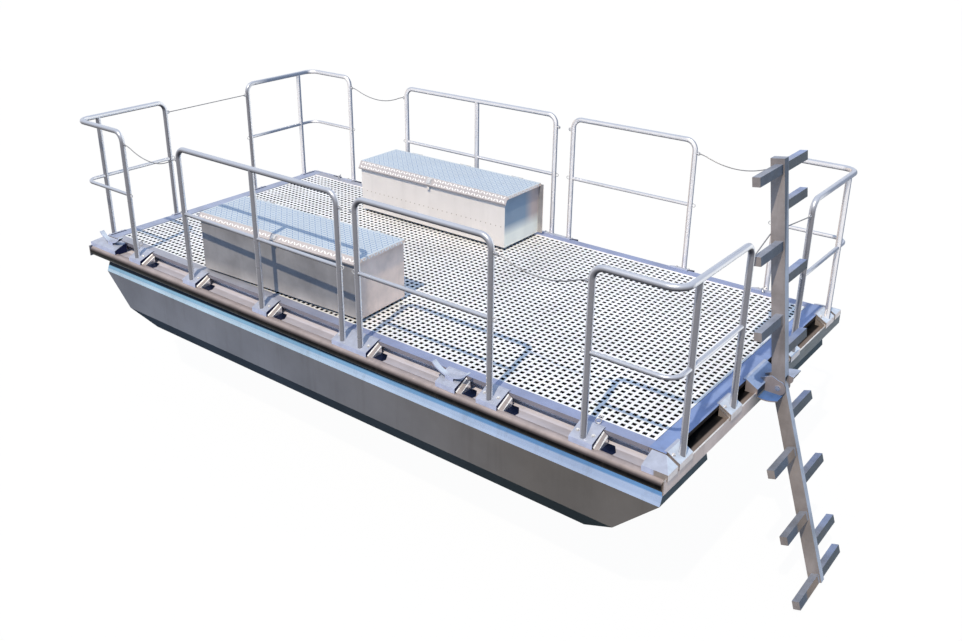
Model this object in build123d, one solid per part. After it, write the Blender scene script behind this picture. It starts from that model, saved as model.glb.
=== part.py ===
from build123d import *
import math
import os

# Work pontoon: a twin-float aluminium deck barge with removable tube railings, two storage boxes
# and a central-spar boarding ladder. Millimetres. +X is the stern, where the ladder hangs, +Y is
# starboard, +Z is up. The origin is the middle of the deck in plan, at the waterline.

# Floats
float_past_end = 12.0
float_past_side = 50.0
float_width = 630.0
float_height = 686.0
draft = 280.0
bilge_height = 151.0
bilge_width = 92.0
side_height = 287.0
sheer_height = 84.0
sheer_inset = 35.0
rake_foot = 250.0
rake_shoulder = 297.0

# Deck frame and gutter
deck_half_length = 2803.0
deck_half_width = 1270.0
beam_height = 88.0
beam_wall = 8.0
side_flange = 87.0
end_flange = 113.0
web_inset = 12.0
edge_lip = 30.0
gutter_width = 78.0
apron_height = 95.0
apron_rise = 8.0
apron_past_rub = 43.0
ledge_wall = 8.0
joist_count = 9
joist_width = 50.0
joist_height = 50.0

# Grating, laid as two layers of flat bars
mesh_pitch = 50.0
mesh_bar = 20.0
mesh_layer = 17.0
mesh_gap = 3.0

# Rub tube along each side
rub_radius = 44.45
rub_from_deck = 115.0
rub_drop = 34.0
rub_end_gap = 8.0

# Railings
rail_radius = 21.2
mid_radius = 15.0
post_from_side = 96.0
post_from_end = 55.0
rail_height = 1071.0
mid_height = 533.0
rail_bend = 80.0
corner_bend = 100.0
post_drop = 71.0
inner_post_y = 489.0
corner_post_inset = 96.0
eye_below_rail = 100.0
eye_radius = 7.0
eye_length = 20.0

# Post brackets, folded from plate
bracket_wall = 6.0
bracket_width = 165.0
bracket_tab = 20.0
bracket_drop = 43.0
side_reach = 130.0
hole_gap = 0.3
corner_cover_gap = 12.0

# Cleats
cleat_radius = 200.0
cleat_half_length = 150.0
cleat_bar = 10.0
cleat_width = 40.0
cleat_pad = 70.0
cleat_from_deck = 65.0
cleat_from_end = 163.0
cleat_x = 1262.0

# Storage boxes
box_length = 1700.0
box_depth = 515.0
box_wall = 3.0
box_foot = 24.0
box_foot_width = 40.0
lid_gap = 5.0
lid_overhang = 20.0
lid_side_lip = 26.0
lid_bevel_width = 38.0
lid_front_lip = 10.0
knuckle_radius = 8.0
knuckle_length = 40.0
hinge_spacing = 600.0
hinge_pin_radius = 4.0
running_gap = 0.05
hinge_offset = 10.0
barrel_gap = 1.0
latch_width = 60.0
latch_margin = 5.0
latch_depth = 12.0
keeper_height = 28.0

# Ladder with one central spar
pivot_out = 91.0
pivot_below_deck = 57.0
upper_lean = 7.5
lower_lean = 17.5
spar_depth = 90.0
upper_spar_width = 62.0
lower_spar_width = 50.0
upper_spar_end = 35.0
lower_spar_end = 6.0
rung_half_span = 375.0
rung_depth = 50.0
rung_height = 60.0
rung_inset = 10.0
upper_first_rung = 244.0
upper_step = 245.0
lower_first_rung = 220.0
lower_step = 236.0
rungs_a_section = 6
heel_radius = 48.0
cheek_gap = 1.0
cheek_wall = 5.0
fork_depth = 78.0
pin_radius = 10.0
ear_gap = 3.0
ear_wall = 8.0
ear_radius = 52.0
ear_rise = 73.0
ear_shoulder = 50.0
ear_foot = 45.0
pin_head_radius = 18.0
pin_head = 4.0
base_width = 340.0
lug_radius = 110.0
lug_edge = 69.0
lug_below = 55.0
lug_tube_radius = 21.0
lug_tube_length = 115.0
lug_tube_out = 38.0
lug_tube_up = 44.0

# Safety wires
wire_radius = 4.0
wire_gap = 0.8

# Levels, edges and lengths that follow from the sizes above
float_length = 2 * (deck_half_length + float_past_end)
float_outer_y = deck_half_width + float_past_side
rub_y = deck_half_width + rub_from_deck
apron_half_width = rub_y + apron_past_rub
post_y = deck_half_width + post_from_side
post_x = deck_half_length + post_from_end
corner_post_y = deck_half_width - corner_post_inset
cleat_y = deck_half_width + cleat_from_deck
corner_cover_y = deck_half_width + corner_cover_gap
upper_spar_length = upper_first_rung + (rungs_a_section - 1) * upper_step + rung_height / 2 + upper_spar_end
lower_spar_length = lower_first_rung + (rungs_a_section - 1) * lower_step + rung_height / 2 + lower_spar_end
float_top = float_height - draft
deck_z = float_top + beam_height
rim_x = deck_half_length + gutter_width
rub_z = float_top - rub_drop
rub_end_x = rim_x - beam_wall - rub_end_gap
rail_z = deck_z + rail_height
mid_z = deck_z + mid_height
post_foot_z = deck_z - post_drop
float_top_y = float_outer_y - sheer_inset
bracket_z = deck_z + bracket_wall
mesh_top = deck_z - mesh_gap
joist_top = mesh_top - 2 * mesh_layer
pivot_x = rim_x + pivot_out
pivot_z = deck_z - pivot_below_deck
spar_half = spar_depth / 2
PORT, STARBOARD = -1, 1
BOW, STERN = -1, 1
SIDE_NAMES = {PORT: "port", STARBOARD: "starboard"}
END_NAMES = {BOW: "bow", STERN: "stern"}

# Railing sections along a side: name, side, x of each post
side_sections = [
    ("fore", PORT, (-1457.0, -585.0, 287.0)),
    ("aft", PORT, (463.0, 1603.0)),
    ("fore", STARBOARD, (-1508.0, -629.0, 250.0)),
    ("aft", STARBOARD, (435.0, 1584.0)),
]
# Railing sections round a corner: end, side, x of the post on the side
corner_sections = [
    (BOW, PORT, 588.0 - deck_half_length),
    (STERN, PORT, deck_half_length - 496.0),
    (BOW, STARBOARD, 509.0 - deck_half_length),
    (STERN, STARBOARD, deck_half_length - 502.0),
]
# Folded brackets between the corner sections: side, x of the middle, width, x of the posts that stand in it
side_brackets = [
    (PORT, -1457.0, bracket_width, (-1457.0,)),
    (PORT, -585.0, bracket_width, (-585.0,)),
    (PORT, 375.0, bracket_width + 176.0, (287.0, 463.0)),
    (PORT, cleat_x, bracket_width, ()),
    (PORT, 1603.0, bracket_width, (1603.0,)),
    (STARBOARD, -1508.0, bracket_width, (-1508.0,)),
    (STARBOARD, -629.0, bracket_width, (-629.0,)),
    (STARBOARD, 342.5, bracket_width + 185.0, (250.0, 435.0)),
    (STARBOARD, 1584.0, bracket_width, (1584.0,)),
]
side_brackets += [(side, x, bracket_width, (x,)) for _, side, x in corner_sections]
# Corner cover plates: end, side, length along the side
corner_covers = [(BOW, PORT, 377.0), (BOW, STARBOARD, 377.0), (STERN, PORT, 170.0), (STERN, STARBOARD, 170.0)]
# Cleats: name, side, x
cleats = [
    ("bow_port", PORT, -deck_half_length + cleat_from_end),
    ("side_port", PORT, cleat_x),
]
# Storage boxes: name, x, side, distance of its middle from the deck's edge, turn in degrees about +Z,
# height of the lid's top, drop of the lid's bevelled front
boxes = [
    ("port", -623.0, PORT, 352.0, 2.9, 503.0, 44.0),
    ("starboard", -640.0, STARBOARD, 330.0, 0.0, 493.0, 62.0),
]
hinge_places = (-hinge_spacing, 0.0, hinge_spacing)
# Sagging wires: name, side, x of the post it leaves, route from the eye's face as (along, down)
sagging_wires = [
    ("port_fore", PORT, corner_sections[0][2],
     ((0, 0), (38, 5), (108, 37), (197, 65), (291, 80), (386, 82), (477, 70), (563, 43), (637, 7), (674.0, 0))),
    ("port_aft", PORT, 1603.0,
     ((0, 0), (36, 4), (101, 31), (182, 54), (268, 66), (356, 67), (441, 56), (519, 34), (586, 5), (620.0, 0))),
    ("starboard_fore", STARBOARD, corner_sections[2][2],
     ((0, 0), (39, 4), (112, 32), (204, 58), (302, 72), (402, 74), (497, 62), (588, 37), (664, 5), (702.0, 0))),
    ("starboard_aft", STARBOARD, 1584.0,
     ((0, 0), (37, 4), (104, 30), (188, 54), (277, 67), (367, 68), (454, 56), (532, 33), (599, 5), (633.0, 0))),
]


def save(shape, node):
    """Writes one sub-part."""
    export_step(shape, f"parts/{node}.step")


def prism_x(points, x0, x1):
    """A solid whose section in Y and Z is the polygon, from x0 to x1."""
    face = make_face(Plane.YZ * Polyline(*points, close=True))
    return Pos(x0, 0, 0) * extrude(face, amount=x1 - x0, dir=(1, 0, 0))


def prism_y(points, y0, y1):
    """A solid whose section in X and Z is the polygon, from y0 to y1."""
    face = make_face(Polyline(*[(x, 0, z) for x, z in points], close=True))
    return Pos(0, y0, 0) * extrude(face, amount=y1 - y0, dir=(0, 1, 0))


def block(x0, x1, y0, y1, z0, z1):
    """A box between two corners."""
    return Pos((x0 + x1) / 2, (y0 + y1) / 2, (z0 + z1) / 2) * Box(x1 - x0, y1 - y0, z1 - z0)


def rod(start, end, radius):
    """A round bar from one point to another."""
    along = Vector(*end) - Vector(*start)
    return extrude(Plane(origin=start, z_dir=along) * Circle(radius), amount=along.length)


def bent_rod(points, radii, radius):
    """A round bar along straight runs joined by arcs."""
    path = FilletPolyline(*points, radius=list(radii))
    return sweep(Plane(origin=path @ 0, z_dir=path % 0) * Circle(radius), path=path)


def to_side(shape, side):
    """A shape made for starboard, on the side it belongs to."""
    return shape if side == STARBOARD else mirror(shape, about=Plane.XZ)


def to_end(shape, end):
    """A shape made for the stern, at the end it belongs to."""
    return shape if end == STERN else mirror(shape, about=Plane.YZ)


def make_float():
    """One float: flat bottom, bilge chamfers, vertical sides, flared sheer band and raked ends."""
    middle = float_outer_y - float_width / 2
    half = float_width / 2
    levels = [
        (half - bilge_width, -draft),
        (half, bilge_height - draft),
        (half, bilge_height + side_height - draft),
        (half - sheer_inset, bilge_height + side_height + sheer_height - draft),
        (half - sheer_inset, float_top),
    ]
    section = [(middle + w, z) for w, z in levels] + [(middle - w, z) for w, z in reversed(levels)]
    end = float_length / 2
    ends = [
        (end - rake_shoulder - rake_foot, -draft),
        (end - rake_shoulder, bilge_height - draft),
        (end, bilge_height + side_height - draft),
        (end, float_top),
    ]
    outline = ends + [(-x, z) for x, z in reversed(ends)]
    return prism_x(section, -end, end) & prism_y(outline, middle - half, middle + half)


def make_side_beam():
    """Channel along the deck's edge: top flange with a turned-down lip, and a web on the float."""
    inner = deck_half_width - side_flange
    web = inner + web_inset
    section = [
        (inner, deck_z), (deck_half_width, deck_z),
        (deck_half_width, deck_z - edge_lip), (deck_half_width - beam_wall, deck_z - edge_lip),
        (deck_half_width - beam_wall, deck_z - beam_wall), (web + beam_wall, deck_z - beam_wall),
        (web + beam_wall, float_top), (web, float_top),
        (web, deck_z - beam_wall), (inner, deck_z - beam_wall),
    ]
    reach = deck_half_length - end_flange
    return prism_x(section, -reach, reach)


def make_end_beam():
    """Channel across the deck's end, with the gutter floor and the upright apron in one folding."""
    inner = deck_half_length - end_flange
    web = inner + web_inset
    section = [
        (inner, deck_z), (deck_half_length, deck_z),
        (deck_half_length, deck_z - edge_lip), (deck_half_length - beam_wall, deck_z - edge_lip),
        (deck_half_length - beam_wall, deck_z - beam_wall), (web + beam_wall, deck_z - beam_wall),
        (web + beam_wall, float_top), (web, float_top),
        (web, deck_z - beam_wall), (inner, deck_z - beam_wall),
    ]
    channel = prism_y(section, -deck_half_width, deck_half_width)
    floor_reach = rub_y - rub_radius - beam_wall
    floor = block(web, rim_x, -floor_reach, floor_reach, float_top, float_top + beam_wall)
    apron_top = float_top + beam_wall + apron_rise
    apron = block(rim_x - beam_wall, rim_x, -apron_half_width, apron_half_width,
                  apron_top - apron_height, apron_top)
    return channel + floor + apron


def make_joists():
    """Cross joists between the side beams, carried on both floats."""
    reach = deck_half_width - side_flange + web_inset
    span = deck_half_length - end_flange - joist_width
    bars = []
    for i in range(joist_count):
        x = -span + 2 * span * i / (joist_count - 1)
        bars.append(block(x - joist_width / 2, x + joist_width / 2, -reach, reach,
                          joist_top - joist_height, joist_top))
    return Compound(children=bars)


def make_grating():
    """Two crossing layers of flat bars: the lower runs fore and aft, the upper across."""
    half_x = deck_half_length - end_flange
    half_y = deck_half_width - side_flange
    rows = int(2 * half_y / mesh_pitch) + 1
    columns = int(2 * half_x / mesh_pitch) + 1
    first_y = -mesh_pitch * (rows - 1) / 2
    first_x = -mesh_pitch * (columns - 1) / 2
    lower = []
    for i in range(rows):
        y = first_y + i * mesh_pitch
        lower.append(block(-half_x, half_x, y - mesh_bar / 2, y + mesh_bar / 2,
                           joist_top, joist_top + mesh_layer))
    upper = []
    for i in range(columns):
        x = first_x + i * mesh_pitch
        upper.append(block(x - mesh_bar / 2, x + mesh_bar / 2, -half_y, half_y,
                           mesh_top - mesh_layer, mesh_top))
    return Compound(children=lower), Compound(children=upper)


def make_ledge():
    """Flat bar that carries the rub tube off the float's side."""
    bar = block(-float_length / 2, float_length / 2, float_top_y, rub_y,
                float_top - ledge_wall, float_top)
    return bar - rub_tube(hole_gap)


def rub_tube(extra=0.0):
    """The round rubbing tube, or the room that it takes."""
    return rod((-rub_end_x - extra, rub_y, rub_z), (rub_end_x + extra, rub_y, rub_z), rub_radius + extra)


def bracket_outline(edge, reach):
    """Section of a folded bracket, outboard and up: tab on the deck's edge, slope and lip."""
    return [
        (edge, float_top), (edge, deck_z), (edge - bracket_tab, deck_z),
        (edge - bracket_tab, bracket_z), (edge, bracket_z),
        (edge + reach, bracket_z - bracket_wall - bracket_drop),
        (edge + reach, float_top),
    ]


def bracket_room(edge, reach):
    """Section of the open inside of a folded bracket."""
    inside = edge + reach - bracket_wall
    thick = bracket_wall * 1.1
    slope = (bracket_wall + bracket_drop) / reach
    return [
        (edge - 1, float_top - 1), (edge - 1, bracket_z - thick),
        (edge, bracket_z - thick),
        (inside, bracket_z - thick - slope * (reach - bracket_wall)),
        (inside, float_top - 1),
    ]


def post_room(x, y):
    """The hole that a post goes through."""
    return Pos(x, y, deck_z) * Cylinder(rail_radius + hole_gap, 4 * beam_height)


def make_side_bracket(x, width, posts):
    """Folded bracket from the deck's edge down to the rub tube."""
    half = width / 2
    shape = prism_x(bracket_outline(deck_half_width, side_reach), x - half, x + half)
    shape -= prism_x(bracket_room(deck_half_width, side_reach), x - half + bracket_wall, x + half - bracket_wall)
    shape -= rub_tube(hole_gap)
    for post in posts:
        shape -= post_room(post, post_y)
    return shape


def make_end_bracket(y, width, posts):
    """Folded bracket from the deck's end over the gutter, its lip outside the apron."""
    half = width / 2
    reach = gutter_width + bracket_wall
    shape = prism_y(bracket_outline(deck_half_length, reach), y - half, y + half)
    shape -= prism_y(bracket_room(deck_half_length, reach), y - half + bracket_wall, y + half - bracket_wall)
    shape -= end_room()
    for post in posts:
        shape -= post_room(post_x, post)
    return shape


def end_room():
    """The room that the gutter floor and the apron take at the stern."""
    low = float_top - apron_height
    floor = block(deck_half_length - end_flange, rim_x, -apron_half_width, apron_half_width,
                  low, float_top + beam_wall)
    apron = block(rim_x - beam_wall, rim_x, -apron_half_width, apron_half_width,
                  low, float_top + beam_wall + apron_rise)
    return floor + apron


def make_corner_cover(length):
    """Hipped cover over the gutter's corner, at the stern on the starboard side."""
    reach = gutter_width + bracket_wall
    x0 = rim_x + bracket_wall - length
    x1 = rim_x + bracket_wall
    y1 = deck_half_width + side_reach
    top = bracket_z
    low_edge = bracket_z - bracket_wall - bracket_drop

    def hip(wall):
        slope_y = (top - low_edge) / side_reach
        slope_x = (top - low_edge) / reach
        drop = wall * 1.1
        side = [
            (corner_cover_y + wall, float_top),
            (corner_cover_y + wall, top - slope_y * (corner_cover_y + wall - deck_half_width) - drop),
            (y1 - wall, top - slope_y * (y1 - wall - deck_half_width) - drop),
            (y1 - wall, float_top),
        ]
        end = [
            (x0 + wall, float_top), (x0 + wall, top), (deck_half_length, top),
            (x1 - wall, top - slope_x * (x1 - wall - deck_half_length) - drop),
            (x1 - wall, float_top),
        ]
        return prism_x(side, x0 + wall, x1 - wall) & prism_y(end, corner_cover_y + wall, y1 - wall)

    shape = hip(0.0) - hip(bracket_wall) - rub_tube(hole_gap) - end_room()
    apron = block(rim_x - beam_wall - hole_gap, rim_x, corner_cover_y, apron_half_width + hole_gap,
                  float_top - apron_height, float_top + beam_wall + apron_rise)
    return shape - apron


def make_side_railing(side, posts):
    """Straight railing section: one bent tube, inner posts, a mid rail and an eye at each end."""
    first, last = posts[0], posts[-1]
    loop = [(first, post_y, post_foot_z), (first, post_y, rail_z), (last, post_y, rail_z), (last, post_y, post_foot_z)]
    frame = bent_rod(loop, [rail_bend, rail_bend], rail_radius)
    for x in posts[1:-1]:
        frame += rod((x, post_y, post_foot_z), (x, post_y, rail_z), rail_radius)
    frame += rod((first, post_y, mid_z), (last, post_y, mid_z), mid_radius)
    frame += eye(first, post_y, -1, 0)
    frame += eye(last, post_y, 1, 0)
    return to_side(frame, side)


def eye(x, y, dx, dy):
    """The stub on a post that a safety wire leaves from."""
    reach = rail_radius + eye_length
    z = rail_z - eye_below_rail
    return rod((x, y, z), (x + dx * reach, y + dy * reach, z), eye_radius)


def make_corner_railing(end, side, x):
    """Railing section bent round a corner of the deck."""
    x = abs(x)
    loop = [
        (x, post_y, post_foot_z), (x, post_y, rail_z), (post_x, post_y, rail_z),
        (post_x, inner_post_y, rail_z), (post_x, inner_post_y, post_foot_z),
    ]
    frame = bent_rod(loop, [rail_bend, corner_bend, rail_bend], rail_radius)
    frame += rod((post_x, corner_post_y, post_foot_z), (post_x, corner_post_y, rail_z), rail_radius)
    middle = [(x, post_y, mid_z), (post_x, post_y, mid_z), (post_x, inner_post_y, mid_z)]
    frame += bent_rod(middle, [corner_bend], mid_radius)
    frame += eye(x, post_y, -1, 0)
    frame += eye(post_x, inner_post_y, 0, -1)
    return to_side(to_end(frame, end), side)


def make_cleat(side, x):
    """Horn cleat: a flat bar bent into a shallow bow, on a pad that seats on the sloping plate."""
    spread = math.degrees(math.asin(cleat_half_length / cleat_radius))
    slope = (bracket_wall + bracket_drop) / side_reach
    seat = bracket_z - slope * (cleat_y - cleat_width / 2 - deck_half_width)
    bottom = seat + cleat_bar / 2
    middle = bottom + cleat_radius
    ring = Pos(x, cleat_y, middle) * Rot(90, 0, 0) * (Cylinder(cleat_radius, cleat_width)
                                                      - Cylinder(cleat_radius - cleat_bar, cleat_width))
    keep = prism_y([(x, middle), (x - cleat_half_length, middle - cleat_radius * math.cos(math.radians(spread))),
                    (x - cleat_half_length, bottom - cleat_bar), (x + cleat_half_length, bottom - cleat_bar),
                    (x + cleat_half_length, middle - cleat_radius * math.cos(math.radians(spread)))],
                   cleat_y - cleat_width, cleat_y + cleat_width)
    bar = ring & keep
    pad = block(x - cleat_pad / 2, x + cleat_pad / 2, cleat_y - cleat_width / 2, cleat_y + cleat_width / 2,
                seat - 2 * cleat_bar, bottom + cleat_bar / 2)
    plate = prism_x(bracket_outline(deck_half_width, side_reach), x - cleat_half_length, x + cleat_half_length)
    return to_side(bar + pad - plate, side)


def box_frame(x, y, turn):
    """Where a storage box stands."""
    return Pos(x, y, mesh_top) * Rot(0, 0, turn)


def hinge_axis(top):
    """Distance behind the box's middle and height of its hinge."""
    return box_depth / 2 + hinge_offset, top - knuckle_radius


def knuckles(top, places, length, leaf):
    """Hinge barrels at the given places, each with the strip of sheet that carries it."""
    y, z = hinge_axis(top)
    barrels = []
    for x in places:
        start, end = x - length / 2, x + length / 2
        barrels.append(rod((start, y, z), (end, y, z), knuckle_radius) + block(start, end, *leaf))
    return barrels


def hinge_rod(top, start, end, radius):
    """A round bar on the hinge's axis."""
    y, z = hinge_axis(top)
    return rod((start, y, z), (end, y, z), radius)


def lid_section(top, drop, inset):
    """Section of the lid, outboard and up, seen along the box, moved inwards by inset."""
    front = -box_depth / 2 - lid_overhang
    turn = math.atan2(lid_bevel_width, drop) / 2
    fold = inset * math.tan(turn)
    rise = inset * math.tan(math.radians(45) - turn)
    back = box_depth / 2 - box_wall
    return [
        (front + inset, top - drop - lid_front_lip), (front + inset, top - drop - fold),
        (front + lid_bevel_width + rise, top - inset), (back, top - inset),
    ]


def make_box(top, drop):
    """Open-topped sheet box on two skids, cut to clear the lid, with hinge barrels and a latch keeper."""
    half_x, half_y = box_length / 2, box_depth / 2
    rim = top - knuckle_radius
    shape = block(-half_x, half_x, -half_y, half_y, box_foot, rim)
    shape -= block(-half_x + box_wall, half_x - box_wall, -half_y + box_wall, half_y - box_wall,
                   box_foot + box_wall, top)
    under = lid_section(top, drop, box_wall + lid_gap)
    outside = [under[1], under[2], (under[2][0], top), (under[1][0] - half_y, top), (under[1][0] - half_y, under[1][1])]
    shape -= prism_x(outside, -box_length, box_length)
    for y in (-box_depth / 3, box_depth / 3):
        shape += block(-half_x + box_foot_width, half_x - box_foot_width,
                       y - box_foot_width / 2, y + box_foot_width / 2, 0, box_foot)
    leaf = (half_y, half_y + hinge_offset, rim - knuckle_radius, rim - knuckle_radius + box_wall)
    pitch = knuckle_length + barrel_gap
    places = [x + step for x in hinge_places for step in (-pitch, pitch)]
    for barrel in knuckles(top, places, knuckle_length, leaf):
        shape += barrel
    keeper_top = top - drop - lid_front_lip - lid_gap
    shape += block(-latch_width / 4, latch_width / 4, -half_y - lid_overhang, -half_y,
                   keeper_top - keeper_height, keeper_top)
    return shape - hinge_rod(top, -half_x, half_x, hinge_pin_radius + running_gap)


def make_lid(top, drop):
    """Folded lid: bevelled front with a lip, side lips and hinge barrels along its back edge."""
    half_x = box_length / 2 + lid_overhang
    outer = lid_section(top, drop, 0.0)
    inner = lid_section(top, drop, box_wall)
    shape = prism_x(outer + inner[::-1], -half_x, half_x)
    low = top - lid_side_lip
    along = (low - outer[1][1]) / (outer[2][1] - outer[1][1])
    cheek = [
        (outer[1][0] + along * (outer[2][0] - outer[1][0]), low), outer[2], outer[3], (outer[3][0], low),
    ]
    if low < outer[1][1]:
        cheek[0] = (outer[0][0], low)
    for start in (-half_x, half_x - box_wall):
        shape += prism_x(cheek, start, start + box_wall)
    leaf = (outer[3][0] - box_wall, box_depth / 2 + hinge_offset, top - box_wall, top)
    for barrel in knuckles(top, hinge_places, knuckle_length, leaf):
        shape += barrel
    return shape - hinge_rod(top, -half_x, half_x, hinge_pin_radius + running_gap)


def make_hinge_pins(top):
    """One pin through each group of hinge barrels."""
    half = 1.5 * knuckle_length + barrel_gap
    return Compound(children=[hinge_rod(top, x - half, x + half, hinge_pin_radius) for x in hinge_places])


def make_latch(top, drop):
    """Over-centre latch on the lid's bevelled front: base plate and lever."""
    section = lid_section(top, drop, 0.0)
    low, high = Vector(0, *section[1]), Vector(0, *section[2])
    up = (high - low).normalized()
    out = Vector(0, -up.Z, up.Y)
    middle = (low + high) / 2
    plane = Plane(origin=middle, x_dir=(1, 0, 0), z_dir=out)
    length = (high - low).length - 2 * latch_margin
    plate = plane * Pos(0, 0, box_wall / 2) * Box(latch_width, length, box_wall)
    lever = plane * Pos(0, 0, latch_depth / 2) * Box(latch_width * 2 / 3, length * 2 / 3, latch_depth)
    return plate + fillet(lever.edges().filter_by(Axis.X).group_by(Axis.Z)[-1], box_wall)


def make_rungs(first, step, up):
    """Rungs of one ladder section: they stick out on one side in turn, and the last on both."""
    x1 = spar_half - rung_inset
    x0 = x1 - rung_depth
    rungs = None
    for i in range(rungs_a_section):
        z = up * (first + i * step)
        last = i == rungs_a_section - 1
        y0 = -rung_half_span if last or i % 2 else 0.0
        y1 = rung_half_span if last or i % 2 == 0 else 0.0
        bar = block(x0, x1, y0, y1, z - rung_height / 2, z + rung_height / 2)
        rungs = bar if rungs is None else rungs + bar
    return rungs


def pivot_bore():
    """The bore for the ladder's pin."""
    return Rot(90, 0, 0) * Cylinder(pin_radius + running_gap, 4 * upper_spar_width)


def make_upper_ladder():
    """Upper spar, leaning inboard, with a forked round heel."""
    half = upper_spar_width / 2
    shape = block(-spar_half, spar_half, -half, half, 0, upper_spar_length)
    shape += Rot(90, 0, 0) * Cylinder(heel_radius, upper_spar_width)
    slot = lower_spar_width / 2 + cheek_gap
    shape -= block(-2 * heel_radius, 2 * heel_radius, -slot, slot, -2 * heel_radius, fork_depth)
    shape += make_rungs(upper_first_rung, upper_step, 1)
    shape -= pivot_bore()
    return Pos(pivot_x, 0, pivot_z) * Rot(0, -upper_lean, 0) * shape


def make_lower_ladder():
    """Lower spar, hung on the pin between the upper spar's cheeks."""
    half = lower_spar_width / 2
    shape = block(-spar_half, spar_half, -half, half, -lower_spar_length, 0)
    shape += Rot(90, 0, 0) * Cylinder(spar_half, lower_spar_width)
    shape += make_rungs(lower_first_rung, lower_step, -1)
    shape -= pivot_bore()
    return Pos(pivot_x, 0, pivot_z) * Rot(0, -lower_lean, 0) * shape


def make_ladder_bracket():
    """Two round-ended ears that carry the pin, off a folded base over the stern gutter, each with a D-shaped lug."""
    shape = make_end_bracket(0.0, base_width, ())
    near = upper_spar_width / 2 + ear_gap
    far = near + ear_wall
    root = rim_x + bracket_wall
    slope = (bracket_wall + bracket_drop) / (gutter_width + bracket_wall)
    foot = root - ear_foot
    seat = root - bracket_wall / 2
    outline = [
        (foot, bracket_z - slope * (foot - deck_half_length) - bracket_wall),
        (seat, bracket_z - slope * (seat - deck_half_length) - bracket_wall),
        (seat, float_top), (root, float_top), (root, pivot_z - ear_radius),
        (pivot_x, pivot_z - ear_radius), (pivot_x + ear_radius * 0.7, pivot_z + ear_radius * 0.7),
        (pivot_x - ear_shoulder, pivot_z + ear_rise),
    ]
    ear = prism_y(outline, near, far)
    ear += rod((pivot_x, near, pivot_z), (pivot_x, far, pivot_z), ear_radius)
    shape += ear + mirror(ear, about=Plane.XZ)
    shape += make_upper_lug(near, far) + make_lower_lug(near, far, root)
    return shape - Pos(pivot_x, 0, pivot_z) * pivot_bore()


def lug_plate(x, y, low, x0, x1, y0, y1):
    """Level round plate with its middle at x, y, kept between two lengths and two widths."""
    disc = Pos(x, y, low + ear_wall / 2) * Cylinder(lug_radius, ear_wall)
    return disc & block(x0, x1, y0, y1, low, low + ear_wall)


def make_upper_lug(near, far):
    """Locking lug outside the starboard ear: a tube along the pin's way, under a plate with a straight edge."""
    x = pivot_x + lug_tube_out
    z = pivot_z + lug_tube_up
    tube = rod((x, near, z), (x, far + lug_tube_length, z), lug_tube_radius)
    tube += rod((x, near, z), (x, far, z), lug_tube_radius + ear_wall)
    edge = pivot_x + lug_edge
    low = z + lug_tube_radius - ear_wall / 2
    reach = far + lug_tube_length + ear_wall
    return tube + lug_plate(edge, far + ear_wall, low, edge - lug_radius, edge, near, reach)


def make_lower_lug(near, far, root):
    """Stop lug outside the port ear, level with the ear's lower edge."""
    low = pivot_z - lug_below
    return lug_plate((root + pivot_x) / 2, -far - ear_wall, low, root, pivot_x + lug_tube_out,
                     -far - ear_wall - lug_radius, -near)


def make_ladder_pin():
    """Pivot pin with a low head outside each ear."""
    half = upper_spar_width / 2 + ear_gap + ear_wall
    shape = Rot(90, 0, 0) * Cylinder(pin_radius, 2 * half)
    for y in (-half - pin_head / 2, half + pin_head / 2):
        shape += Pos(0, y, 0) * Rot(90, 0, 0) * Cylinder(pin_head_radius, pin_head)
    return Pos(pivot_x, 0, pivot_z) * shape


def corner_radii(points):
    """The largest arcs that a wire's runs leave room for."""
    radii = []
    for before, here, after in zip(points, points[1:], points[2:]):
        first = Vector(*here) - Vector(*before)
        second = Vector(*after) - Vector(*here)
        half_turn = math.radians(first.get_angle(second)) / 2
        radii.append(0.45 * min(first.length, second.length) / math.tan(half_turn))
    return radii


def make_sagging_wire(name, side, x, route):
    """Safety wire that hangs between two railing sections."""
    start = x + rail_radius + eye_length + wire_gap
    z = rail_z - eye_below_rail
    points = [(start + along, side * post_y, z - down) for along, down in route]
    radii = corner_radii(points)
    print("wire", name, "radii", [round(r) for r in radii])
    return bent_rod(points, radii, wire_radius)


def make_bow_wire():
    """Taut wire across the bow opening."""
    reach = inner_post_y - rail_radius - eye_length
    z = rail_z - eye_below_rail
    return rod((-post_x, -reach, z), (-post_x, reach, z), wire_radius)


def make_stern_wire():
    """Taut wire across the ladder gap, bent round the inboard face of the upper spar."""
    reach = inner_post_y - rail_radius - eye_length - wire_gap
    z = rail_z - eye_below_rail
    lean = math.radians(upper_lean)
    face = pivot_x - (z - pivot_z) * math.tan(lean) - spar_half / math.cos(lean)
    x = face - wire_radius * 1.5
    half = upper_spar_width / 2
    points = [(post_x, -reach, z), (x, -half, z), (x, half, z), (post_x, reach, z)]
    return bent_rod(points, [4 * wire_radius, 4 * wire_radius], wire_radius)


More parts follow.
